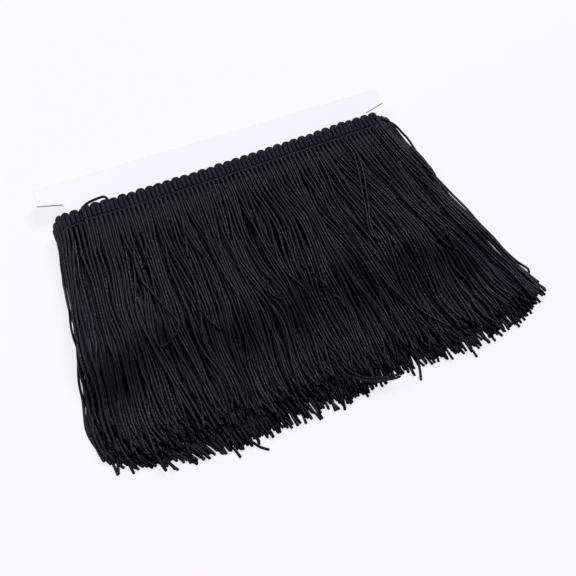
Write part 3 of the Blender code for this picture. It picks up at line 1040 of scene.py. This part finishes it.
def straighten(values, stiffness, tension):
    """Cords resist bending, and a little more so kinks."""
    bendy, pull = np.zeros_like(values), np.zeros_like(values)
    a, b, c, d, e = (values[k : len(values) - 4 + k] for k in range(5))
    bendy[2:-2] = (a - 4 * b + 6 * c - 4 * d + e) / 8
    pull[1:-1] = 0.5 * (values[:-2] + values[2:]) - values[1:-1]
    values[FIXED:] -= stiffness * bendy[FIXED:]
    values[FIXED:-1] += tension * pull[FIXED:-1]


def push_apart(x, z, first, second):
    """Overlapping cords part, measured square to their common direction."""
    lean_x, lean_z = np.gradient(x, axis=0), np.gradient(z, axis=0)
    size = np.sqrt(lean_x**2 + lean_z**2 + SLICE**2)
    lean_x, lean_z = (lean_x / size).ravel(), (lean_z / size).ravel()
    dx, dz = (values.ravel()[first] - values.ravel()[second] for values in (x, z))
    slip = dx * 0.5 * (lean_x[first] + lean_x[second]) + dz * 0.5 * (lean_z[first] + lean_z[second])
    overlap = CONTACT - np.sqrt(np.maximum(dx * dx + dz * dz - slip * slip, 1e-9))
    touching = overlap > 0
    first, second, overlap = first[touching], second[touching], 0.5 * overlap[touching]
    dx, dz = dx[touching], dz[touching]
    reach = np.hypot(dx, dz) + 1e-6
    contacts = np.bincount(first, minlength=x.size) + np.bincount(second, minlength=x.size)
    calm = 1.0 / np.maximum(1.0, CROWDED * contacts)
    for values, part in ((x, dx), (z, dz)):
        shift = overlap * part / reach
        move = np.bincount(first, shift, x.size) - np.bincount(second, shift, x.size)
        values[FIXED:] += (move * calm).reshape(values.shape)[FIXED:]
    return overlap.sum() / max(len(overlap), 1)


print("cords touch at %.2f mm" % CONTACT)

# %% Supports and hidden gaps
WIDEST_GAP = 0.85  # mm between the strands that hide the card and the table
GAP_SHARE = 0.45  # of a gap's excess is closed in a step
SLANT = (0.2, 0.5)  # mm sideways and forward that a point seems to move for each mm of height
EDGE_MARGIN = 0.5  # mm past the card's front edge where it still holds the strands
HIDING_TURNS = 3  # the innermost turns, whose strands hide the card
inner_top = np.flatnonzero(on_top & (root_turn < HIDING_TURNS))
below_card = np.flatnonzero(~on_top)
card_slices = slice_y > CARD_FRONT - EDGE_MARGIN
beside_card = np.abs(root_x) > BODY_HALF


def hold_up(x, z):
    """The table and the card are solid; strands beside the card stay beside it."""
    np.maximum(z, STRAND_RADIUS, out=z)
    clear = BOARD_HALF + STRAND_RADIUS
    near = (np.abs(x) < BODY_HALF + STRAND_RADIUS) & (np.abs(z - BOARD_MIDDLE) < clear)
    inside = card_slices & near
    beside = inside & beside_card[None, :]
    x[beside] = np.sign(x[beside]) * (BODY_HALF + STRAND_RADIUS)
    z[inside & ~beside & on_top[None, :]] = BOARD_MIDDLE + clear
    z[inside & ~beside & ~on_top[None, :]] = BOARD_MIDDLE - clear


def close_gaps(x, z, hiding):
    """Hidden strands lean in wherever the card or the table would show between them."""
    lean = np.gradient(x[:, hiding], axis=0) / SLICE
    seen = x[:, hiding] + z[:, hiding] * (SLANT[0] + SLANT[1] * lean)
    order = np.argsort(seen, axis=1)
    gaps = np.diff(np.take_along_axis(seen, order, axis=1), axis=1)
    excess = np.maximum(gaps - WIDEST_GAP, 0) * GAP_SHARE
    push = np.zeros_like(seen)
    push[:, :-1] += excess
    push[:, 1:] -= excess
    back = np.empty_like(push)
    np.put_along_axis(back, order, push, axis=1)
    x[FIXED:, hiding] += back[FIXED:]


print("%d strands hide the card, %d the table" % (len(inner_top), len(below_card)))

# %% Settle
SETTLING_STEPS = 300
PAIRS_EVERY = 6  # steps between two searches for neighbours
LATE = 0.7  # share of the steps after which the pile sinks slowly
HELD_LENGTH = 16.0  # mm below the heading over which the turns stay apart in height
SINK, SINK_PAST_CARD, SINK_LATE = 0.035, 0.05, 0.01  # mm that gravity pulls in a step
HEIGHT_PULL, HELD_PULL, CARD_PULL = 0.014, 0.10, 0.008  # share of the way back to the resting height
AIM_PULL, ROOT_AIM = 0.02, 0.6  # share of the way back to the aim, and right below the heading
STIFFNESS, TENSION_ACROSS, TENSION_UP = 0.22, 0.04, 0.05


def settle():
    """Runs the pile to rest and returns its x and z."""
    x = aim_x.copy()
    z = np.maximum(rest_z, STRAND_RADIUS)
    held = 1 - ease(slice_run / HELD_LENGTH)
    lift = HEIGHT_PULL + HELD_PULL * held + CARD_PULL * (1 - past_card)
    for step in range(SETTLING_STEPS):
        if step % PAIRS_EVERY == 0:
            first, second = near_pairs(x, z)
        late = step > LATE * SETTLING_STEPS
        z[FIXED:] -= (SINK_LATE if late else SINK_PAST_CARD) * past_card[FIXED:] + SINK
        z[FIXED:] += (lift * (rest_z - z))[FIXED:]
        x[FIXED:] += AIM_PULL * (aim_x - x)[FIXED:]
        close_gaps(x, z, inner_top)
        close_gaps(x, z, below_card)
        straighten(x, STIFFNESS, TENSION_ACROSS)
        straighten(z, STIFFNESS, TENSION_UP)
        overlap = push_apart(x, z, first, second)
        hold_up(x, z)
        x[0], z[0], z[1] = root_x, root_z, rest_z[1]
        x[1] = root_x + ROOT_AIM * (aim_x[1] - root_x)
    print("settled, mean overlap %.2f mm, top of the tips z %.1f mm" % (2 * overlap, z[-5].max()))
    return x, z


settled_x, settled_z = settle()

# %% [markdown]
# ## From dots back to cords
# Joining a strand's dots gives its line. The line is smoothed a little, cut to the strand's
# own length and stepped evenly, and its last millimetres splay at random as cut ends do. Strands
# from the outer turns lie on top, so those get more rings and sides than the hidden ones.

# %% Strand lengths
FULL_LENGTH = 139.0
LEFT_CORNER, RIGHT_CORNER = 17, 14  # mm that the outermost strands are shorter
LEFT_CORNER_TO, RIGHT_CORNER_FROM = 0.13, 0.75  # shares of the width
# mm that the strands on top end short of those below, across the fringe
TOP_SHORTER = ((0.1, 13.5), (0.45, 12.0), (0.7, 9.0), (0.9, 6.0))
TURN_SHARE = (0.4, 0.5, 0.75, 1.0, 1.0)  # of that for each turn: the inner ones lie lower
# size, length and phase of the waves in the cut of the strands on top
RAGGED = ((2.5, 4.1, 0.0), (2.0, 9.7, 1.0))
LEFT_LONGER, MIDDLE_SHORTER, RIGHT_LONGER = 2.0, 1.5, 2.2  # mm, where the pile lies differently
# shares of the width: where the left's extra ends, and where and how fast the others come in
LEFT_TO, MIDDLE_FROM, MIDDLE_OVER, LAST_FROM, LAST_OVER = 0.4, 0.5, 0.15, 0.68, 0.1
CUT_SPREAD = 1.5  # mm that single strands vary
LONG_SHARE, LONG_BY = 0.06, (1, 4)  # of the strands were cut long, by that many mm


def cut_lengths(rng):
    """Each strand's length (mm): shorter at the corners, in the turns on top, and ragged."""
    at_left = np.maximum(0, 1 - across / LEFT_CORNER_TO)
    at_right = np.maximum(0, (across - RIGHT_CORNER_FROM) / (1 - RIGHT_CORNER_FROM))
    length = FULL_LENGTH - LEFT_CORNER * at_left**2 - RIGHT_CORNER * at_right**3
    left, middle = ease(across / LEFT_TO), ease((across - MIDDLE_FROM) / MIDDLE_OVER)
    right = ease((across - LAST_FROM) / LAST_OVER)
    length += LEFT_LONGER * (1 - left) - MIDDLE_SHORTER * middle + RIGHT_LONGER * right
    ragged = sum(size * np.sin(root_x / wave + phase) for size, wave, phase in RAGGED)
    shorter = (np.interp(across, *np.array(TOP_SHORTER).T) + ragged) * on_top
    length -= shorter * np.array(TURN_SHARE)[root_turn]
    length += rng.normal(0, CUT_SPREAD, STRANDS)
    return length + (rng.random(STRANDS) < LONG_SHARE) * rng.uniform(*LONG_BY, STRANDS)


lengths = cut_lengths(rng)
print("strand lengths %.0f to %.0f mm" % (lengths.min(), lengths.max()))

# %% Strand lines
END_ROUNDING = 0.45  # mm at the end of a strand where the cut cord rounds off
ROOT_HIDDEN = 1.6  # mm that a strand starts behind its root, under the stitches
TIP_SPLAY, TIP_SINK = 13.0, 1.6  # mm at the end that wander off line, and that the tip may sink
SPLAY_RIGHT = 0.3  # of the sway is shared by all: the tips turn a little to the right


def smooth(lines, times):
    """A light blur along each line, some times over, that keeps its ends."""
    for _ in range(times):
        blurred = lines.copy()
        blurred[1:-1] = 0.25 * lines[:-2] + 0.5 * lines[1:-1] + 0.25 * lines[2:]
        lines = blurred
    return lines


def strand_lines(chosen, rings):
    """Evenly stepped points (strands, rings, 3) of the chosen strands, cut to length."""
    lines = np.stack([values[:, chosen] for values in (settled_x, slice_y, settled_z)], axis=2)
    lines = smooth(lines, 2)
    lines = np.concatenate([lines[:1] + np.array((0.0, ROOT_HIDDEN, 0.0)), lines])
    steps = np.linalg.norm(np.diff(lines, axis=0), axis=2)
    along = np.concatenate([np.zeros((1, steps.shape[1])), np.cumsum(steps, axis=0)])
    out = np.empty((len(chosen), rings, 3))
    for k, length in enumerate(np.minimum(lengths[chosen], along[-1])):
        at = np.append(np.linspace(0, length - END_ROUNDING, rings - 1), length)
        for axis in range(3):
            out[k, :, axis] = np.interp(at, along[:, k], lines[:, k, axis])
    return out


def splay_tips(lines, sway, rng):
    """The last millimetres of every strand turn aside by about sway (mm) and settle."""
    count = len(lines)
    total = np.linalg.norm(np.diff(lines, axis=1), axis=2).sum(axis=1)[:, None]
    at = np.linspace(0, 1, lines.shape[1])[None, :] * total
    bent = ease((at - total + TIP_SPLAY) / TIP_SPLAY)
    lines[:, :, 0] += bent * rng.normal(SPLAY_RIGHT, 1.0, (count, 1)) * sway
    sunk = lines[:, :, 2] - bent * rng.uniform(0, TIP_SINK, (count, 1))
    lines[:, :, 2] = np.maximum(sunk, STRAND_RADIUS)
    return lines


print("tips splay over the last %.0f mm" % TIP_SPLAY)

# %% Fringe pieces, one for each turn of the winding
FINE_FROM = 2  # the first turn whose strands are seen closely
FINE, COARSE = (62, 8), (46, 6)  # rings and sides of a strand
TOP_SWAY, BELOW_SWAY, HIDDEN_SWAY = 1.7, 1.3, 0.8
PRESSED, PRESSED_OVER = (0.66, 0.52, 0.18, 0.0, 0.0), 0.13  # mm wider under the turns above
ROOT_SWELL, SWELL_OVER = 0.62, 0.12  # strands leave the heading plump, and then are drawn thin
ROOT_NARROWING = (0.62, 0.95)  # of the first two rings, which hide under the stitches
TIP_FLARE, FLARE_FROM, FLARE_WITHIN = 0.2, 0.95, 0.03  # the knit opens a little at the cut end
END_NARROWING = 0.8  # of the last ring, where the cut is rounded off
RADIUS_SPREAD = (0.95, 1.03)
SHADE_SPREAD = 60  # metres along the knit's noise over which the strands are spread


def make_turn(turn):
    """The strands that hang from one turn, as one piece."""
    chosen = np.flatnonzero(root_turn == turn)
    fine = turn >= FINE_FROM
    rings, sides = FINE if fine else COARSE
    down = np.linspace(0, 1, rings)
    sway = np.where(on_top[chosen], TOP_SWAY, BELOW_SWAY if fine else HIDDEN_SWAY)[:, None]
    lines = splay_tips(strand_lines(chosen, rings), sway, rng)
    radius = STRAND_RADIUS * rng.uniform(*RADIUS_SPREAD, (len(chosen), 1)) * np.ones(lines.shape[:2])
    radius *= 1 + ROOT_SWELL * (1 - ease(down / SWELL_OVER))
    radius *= 1 + TIP_FLARE * ease((down - FLARE_FROM) / FLARE_WITHIN)
    radius[:, -1] *= END_NARROWING
    radius[:, :2] *= ROOT_NARROWING
    wide = radius + PRESSED[turn] * ease((1.0 - down) / PRESSED_OVER)
    shade = rng.uniform(0, SHADE_SPREAD, len(chosen))
    # the hidden inner turns take the darker copy of the strand cord: painted shade
    finish = strand_finish if fine else shaded_inner_finish
    name = "fringe_turn_%d" % (turn + 1)
    return cord_piece(name, lines, wide, radius, sides, finish, offsets=shade)


fringe_pieces = [make_turn(turn) for turn in range(TURNS)]
for piece in fringe_pieces:
    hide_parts("fringe")

# %% [markdown]
# ## Stray strands
# What makes a fringe look handled are the few cords that went their own way: some lie across
# the others and hook back, some hang free along the edges, tips stick out at the front, and at
# the right corner the last cords fan out over the bend. Each is a short list of given places,
# smoothed to a curve. Those on the pile ask it how high it is; the free ones say their
# own height.

# %% Routes of the strays
# (x, y) in mm of cords that lie on the pile
LYING = {
    "long_hook": (
        (-61, -55), (-63.5, -66), (-64.5, -75), (-63.5, -84), (-60, -93), (-57, -102),
        (-54.8, -107), (-54, -112), (-56.5, -115.5), (-61.5, -117.5), (-66.5, -118.5),
    ),
    "short_end": ((-57.5, -52.5), (-56, -58), (-56.5, -64), (-58, -69), (-60, -73), (-62.5, -76.5)),
    "upper_end": ((-33.5, -50), (-34.5, -57), (-35.5, -63), (-37, -71), (-38, -77)),
    "crossing": (
        (-45, -88), (-43.5, -96), (-42.5, -105), (-40.5, -111.5), (-38, -117.5), (-35.5, -121.5),
    ),
    "right_hook": (
        (88.5, -87), (90, -96), (91, -102), (92, -106.5), (93.2, -109.5), (92.5, -112.5),
        (89.5, -114),
    ),
    "right_end": ((92.7, -111), (93.3, -117), (94, -123)),
    "near_right_end": ((88, -112), (90, -116), (92, -121)),
    "pair_left": (
        (64, -28.6), (65.2, -35), (66.4, -40), (67.6, -44.5), (68, -50), (66, -60), (63.3, -70),
        (61, -79), (58.6, -86.5), (56.5, -94), (56.5, -101),
    ),
    "pair_right": (
        (66.2, -28.6), (67.4, -35.5), (68.6, -41), (69.7, -45.5), (70, -51), (68, -62), (64.8, -73),
        (61.8, -82), (59, -89), (57.6, -96), (57.5, -104),
    ),
    "curl": ((-4.5, -103), (-5.8, -108), (-6.2, -111), (-5.2, -113.5), (-3.5, -115), (-2, -116.5)),
    "kink": ((18, -108), (21.5, -116), (24, -123), (26, -125), (27, -131)),
    "lower_sweep": (
        (9.5, -146), (10.8, -154), (11.8, -161), (15, -166), (20.5, -169.8), (27, -172),
        (33.5, -173.6), (37, -173.8),
    ),
    "inner_sweep": (
        (12, -154), (14.5, -161.5), (18, -166.6), (24, -169.4), (31.5, -171.6), (36.5, -172.6),
    ),
}
# (x, y, z) in mm of cords that hang or lie free beside the pile
FREE = {
    "right_edge": (
        (92.5, -27.5, 18), (96.5, -30.6, 17), (101.7, -34.4, 14), (104.0, -39.1, 12),
        (106.2, -43.8, 10), (107.1, -50.6, 8.5), (108.2, -59.5, 6.6), (109.9, -67.5, 5.2),
        (112.3, -75.5, 4), (114.8, -85, 3), (117.6, -96, 2.6), (119.4, -107, 2.2), (122, -118, 2),
        (123.6, -127, 1.6), (126, -135, 1.2), (129, -140.5, 0.8), (130, -143, 0.6),
        (128, -145.5, 0.6),
    ),
    "right_under": (
        (98.5, -32, 13), (101.8, -38, 10.5), (103.9, -45, 8.4), (105.3, -53, 6.8), (106.3, -60, 6),
        (107.4, -67, 5.4), (109.7, -76, 4.6), (113, -88, 3.8), (116.5, -100, 3),
    ),
    "right_under_twin": (
        (97, -32.5, 13), (100.3, -38.5, 10.5), (102.5, -45.5, 8.4), (104, -53.5, 6.8),
        (105, -60.5, 6), (106.1, -67.5, 5.4), (108.3, -76.5, 4.6), (111.6, -88, 3.8),
        (115, -100, 3),
    ),
    "left_under": (
        (-101.2, -96, 2.4), (-102.4, -104, 2.1), (-103.8, -112, 1.8), (-104.9, -119, 1.5),
        (-105.9, -127, 1.2), (-106.5, -135, 1), (-106.3, -143, 0.9), (-105.4, -150, 0.8),
    ),
    "left_under_twin": (
        (-99.7, -97, 2.4), (-100.9, -105, 2.1), (-102.2, -113, 1.8), (-103.3, -120, 1.5),
        (-104.4, -128, 1.2), (-105, -136, 1), (-104.8, -144, 0.9), (-103.8, -151, 0.8),
    ),
    "left_upper": (
        (-99.5, -44, 7), (-101.6, -51.5, 5.5), (-102.3, -57, 5), (-103, -62, 5), (-103.2, -67, 4.6),
        (-103.6, -72.5, 4.2), (-103.7, -78.5, 4), (-103.4, -84, 4), (-102.5, -91, 4.4),
        (-100.5, -98, 4.6),
    ),
    "left_edge": (
        (-101.9, -92, 3), (-104.2, -100.5, 2.6), (-106.4, -107.5, 2), (-108.3, -117, 1.6),
        (-108.8, -127, 1.3), (-109.9, -135, 1), (-110.3, -140, 0.8), (-109, -145, 0.7),
        (-107.2, -149, 0.7), (-107.8, -153, 0.6),
    ),
    "left_tip": (
        (-108, -145, 1), (-105.4, -152.5, 0.8), (-104, -157.5, 0.6), (-102.8, -162, 0.6),
        (-102, -167.5, 0.6),
    ),
    "left_tip_twin": (
        (-99.5, -152, 1.4), (-100.2, -158, 1), (-101, -163.5, 0.8), (-101.7, -167.2, 0.7),
    ),
    "corner_stub": ((-98, -156, 1.4), (-96.4, -163, 1), (-95, -169.5, 0.6)),
    "corner_stub_twin": ((-96, -157, 1.4), (-94.4, -163.5, 1), (-92.6, -168.6, 0.6)),
    "left_stub": ((-104.5, -150, 1.2), (-104, -155, 0.8), (-105.5, -159, 0.6)),
    "front_tip": ((-45, -167, 2), (-40.6, -174.4, 0.7), (-37.5, -179, 0.6), (-33.8, -182, 0.6)),
    "front_stub": ((50.4, -160, 4), (50.3, -167, 2), (49, -173, 0.8), (47.2, -177.5, 0.6)),
}
# (x, y, z) of the first and the last cord that fan out over the right corner
FAN_FIRST = (
    (86, -30, 19.4), (87, -39, 19.2), (88.5, -48, 18.6), (91, -58, 17.4), (95, -71, 15),
    (99, -85, 13), (103, -99, 11),
)
FAN_LAST = (
    (96, -30.3, 17.4), (99.2, -34.6, 15.6), (101.5, -40.2, 13), (103, -44.8, 11),
    (104.5, -49.5, 9.4), (106.8, -60, 7.2), (110, -77, 4.8),
)
FAN_CORDS = 9
print("%d strays lie on the pile, %d hang free, %d fan out" % (len(LYING), len(FREE), FAN_CORDS))

# %% Curves through a route
STRAY_RINGS = 64
CURVE_STEPS = 24


def smooth_route(route):
    """Evenly stepped points of a curve through the route (Catmull-Rom)."""
    route = np.array(route, float)
    ends = np.concatenate([[2 * route[0] - route[1]], route, [2 * route[-1] - route[-2]]])
    t = np.linspace(0, 1, CURVE_STEPS, endpoint=False)[:, None]
    dense = []
    for a, b, c, d in zip(ends, ends[1:], ends[2:], ends[3:]):
        square, cube = (2 * a - 5 * b + 4 * c - d) * t**2, (3 * b - a - 3 * c + d) * t**3
        dense.append(0.5 * (2 * b + (c - a) * t + square + cube))
    dense = np.concatenate([*dense, route[-1:]])
    along = np.concatenate([[0], np.cumsum(np.linalg.norm(np.diff(dense, axis=0), axis=1))])
    at = np.linspace(0, along[-1], STRAY_RINGS)
    return np.stack([np.interp(at, along, column) for column in dense.T], axis=1)


print("the long hook has %d rings" % len(smooth_route(LYING["long_hook"])))

# %% Lines of the strays
STRAY_REACH = 1.2  # mm to each side in which a stray feels the pile
STRAY_DIVE, STRAY_DIVE_OVER = 2.4, 0.15  # mm that a stray rises from inside the pile
FAN_DIVE, FAN_DIVE_OVER = 1.8, 0.08  # the same for the cords of the corner fan
FAN_FLOOR = 0.6  # of a strand's radius that the fan lies above the pile at least
STRAY_SMOOTHING, FAN_SMOOTHING = 12, 6
down = np.linspace(0, 1, STRAY_RINGS)


def pile_top(x, y):
    """Height of the pile at one place."""
    at = np.clip((fringe_start - y) / SLICE, 0, SLICES - 1.001)
    low, strand = at.astype(int), np.arange(STRANDS)
    mix = at - low
    here_x = settled_x[low, strand] * (1 - mix) + settled_x[low + 1, strand] * mix
    here_z = settled_z[low, strand] * (1 - mix) + settled_z[low + 1, strand] * mix
    near = np.abs(here_x - x) < STRAY_REACH
    return here_z[near].max() + STRAND_RADIUS if near.any() else 0.0


def lie_on_pile(route):
    """A smooth (x, y, z) line on top of the pile that comes up from between its cords."""
    line = smooth_route(route)
    z = np.array([pile_top(*point) for point in line]) + STRAND_RADIUS
    z = smooth(z, STRAY_SMOOTHING)
    z -= STRAY_DIVE * (1 - ease(down / STRAY_DIVE_OVER))
    return np.column_stack([line, z])


def corner_fan():
    """Cords that spread from the last loops on top over the right bend, evenly spaced."""
    for share in np.linspace(0, 1, FAN_CORDS):
        line = smooth_route((1 - share) * np.array(FAN_FIRST) + share * np.array(FAN_LAST))
        floor = np.array([pile_top(*point) for point in line[:, :2]]) + FAN_FLOOR * STRAND_RADIUS
        z = np.maximum(line[:, 2], floor)
        end = ease((down - 1 + STRAY_DIVE_OVER) / STRAY_DIVE_OVER)
        z -= FAN_DIVE * (1 - ease(down / FAN_DIVE_OVER)) + STRAY_DIVE * end
        line[:, 2] = smooth(z, FAN_SMOOTHING)
        yield line


groups = [[*map(lie_on_pile, LYING.values())], [*map(smooth_route, FREE.values())], [*corner_fan()]]
stray_lines = np.concatenate(groups)
print("%d strays of %d rings" % stray_lines.shape[:2])

# %% Stray cords
STRAY_SIDES = 10
GROUP_SIZE = (1.0, 1.12, 1.0)  # the free cords aren't pressed, and so are thicker
STRAY_END = 0.6  # of the last ring, where the cut is rounded off
stray_size = np.repeat(GROUP_SIZE, [len(group) for group in groups])
stray_radius = STRAND_RADIUS * stray_size[:, None] * np.where(down < 1, 1.0, STRAY_END)
size = (stray_radius, stray_radius)
shade = rng.uniform(0, SHADE_SPREAD, len(stray_lines))
strays = cord_piece("stray_strands", stray_lines, *size, STRAY_SIDES, strand_finish, offsets=shade)
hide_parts("fringe")

# %% [markdown]
# At the left the last loops have been pulled, and a thin bight of their cord stands up behind
# the scallops. It is one more route, in the heading's finish.

# %% The heading's loose end
LOOSE_END = (
    (-83, -31, 18.4), (-81, -29.4, 18.8), (-79.6, -28, 19.2), (-76.7, -27.1, 19.5),
    (-72.8, -26.6, 19.6), (-70, -26.4, 19.5), (-68.7, -26.8, 19.3), (-67.7, -28.4, 18.9),
    (-67.1, -30.6, 18.4),
)
LOOSE_RADIUS = 0.72
size = (LOOSE_RADIUS, LOOSE_RADIUS)
loose_line = smooth_route(LOOSE_END)[None]
loose_end = cord_piece("heading_loose_end", loose_line, *size, STRAY_SIDES, heading_finish)
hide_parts("heading")

# %% [markdown]
# ## The cloth's flat size
# The heading is the cloth here: a narrow ribbon, folded round and round the card. Its flat size
# is its depth by the length of the whole winding, and everything that hangs from it goes along.

# %% Flat size of the heading
print("heading cut %.0f x %.0f mm" % (HEADING_DEPTH, TRIM_LENGTH))
